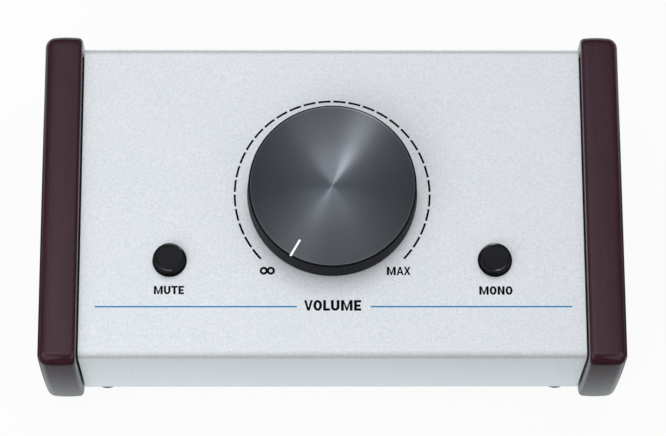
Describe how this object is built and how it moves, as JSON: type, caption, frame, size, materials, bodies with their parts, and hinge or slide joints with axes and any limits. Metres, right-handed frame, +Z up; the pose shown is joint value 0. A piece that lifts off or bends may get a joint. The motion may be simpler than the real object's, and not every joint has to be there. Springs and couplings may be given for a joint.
{
  "type": "studio monitor controller",
  "caption": "Desktop studio monitor controller: sloping metal case between wooden cheeks, large volume knob, mute and mono push buttons, rear audio sockets.",
  "frame": {"origin": "middle of the footprint, on the surface that the feet stand on", "axes": "+Z up, the front (the buttons' side) towards -Y, +X to the user's right"},
  "size_m": [0.1656, 0.098, 0.0497],
  "materials": {
    "silver_paint": "fine silver paint, satin",
    "tray_coat": "black powder coat",
    "lacquered_wood": "dark brown-red high gloss lacquer",
    "zinc_screw": "zinc plated",
    "black_screw": "black",
    "foot_rubber": "matt",
    "spun_metal": "dark anodised, spun",
    "white_line": "white filled line",
    "shaft_steel": "bright",
    "contact_metal": "tinned",
    "bushing_brass": "bright",
    "cap_plastic": "satin black",
    "stem_plastic": "matt",
    "black_plastic": "fine matt",
    "board": "solder resist",
    "ribbon": "grey"
  },
  "bodies": {
    "case": {"top_cover": "silver_paint", "base_tray": "tray_coat", "side_panel_left": "lacquered_wood", "side_panel_right": "lacquered_wood", "side_panel_screws": "zinc_screw", "rubber_feet": "foot_rubber", "foot_screws": "zinc_screw", "pot_body": "shaft_steel", "pot_bushing": "bushing_brass", "pot_washer": "shaft_steel", "pot_nut": "shaft_steel", "pot_terminals": "contact_metal", "mute_switch": "black_plastic", "mute_spring": "shaft_steel", "mono_switch": "black_plastic", "mono_spring": "shaft_steel", "control_board": "board", "board_standoffs": "zinc_screw", "board_screws": "zinc_screw", "chip_resistors": "black_plastic", "rear_board": "board", "ribbon_cable": "ribbon", "cable_headers": "black_plastic", "input_shell_left": "black_plastic", "input_shell_right": "black_plastic", "input_insert_left": "black_plastic", "input_insert_right": "black_plastic", "output_shell_left": "black_plastic", "output_shell_right": "black_plastic", "output_pins_left": "contact_metal", "output_pins_right": "contact_metal", "aux_jack": "black_plastic", "aux_jack_nut": "shaft_steel", "aux_jack_pins": "contact_metal", "connector_screws": "black_screw"},
    "volume": {"volume_knob": "spun_metal", "knob_pointer": "white_line", "knob_set_screw": "zinc_screw", "pot_shaft": "shaft_steel", "pot_wiper": "black_plastic"},
    "mute": {"mute_button": "cap_plastic", "mute_plunger": "stem_plastic"},
    "mono": {"mono_button": "cap_plastic", "mono_plunger": "stem_plastic"}
  },
  "joints": [
    {"name": "volume_turn", "type": "hinge", "parent": "case", "child": "volume", "pos_m": [0, 0.00145, 0.03883], "axis": [0, 0.0785, -0.9969], "range_deg": [0, 300]},
    {"name": "mute_press", "type": "slide", "parent": "case", "child": "mute", "axis": [0, 0.0785, -0.9969], "range_m": [0, 0.0016], "stiffness_N_per_m": 600, "springref_m": -0.0008, "deforming": ["mute_spring"]},
    {"name": "mono_press", "type": "slide", "parent": "case", "child": "mono", "axis": [0, 0.0785, -0.9969], "range_m": [0, 0.0016], "stiffness_N_per_m": 600, "springref_m": -0.0008, "deforming": ["mono_spring"]}
  ]
}
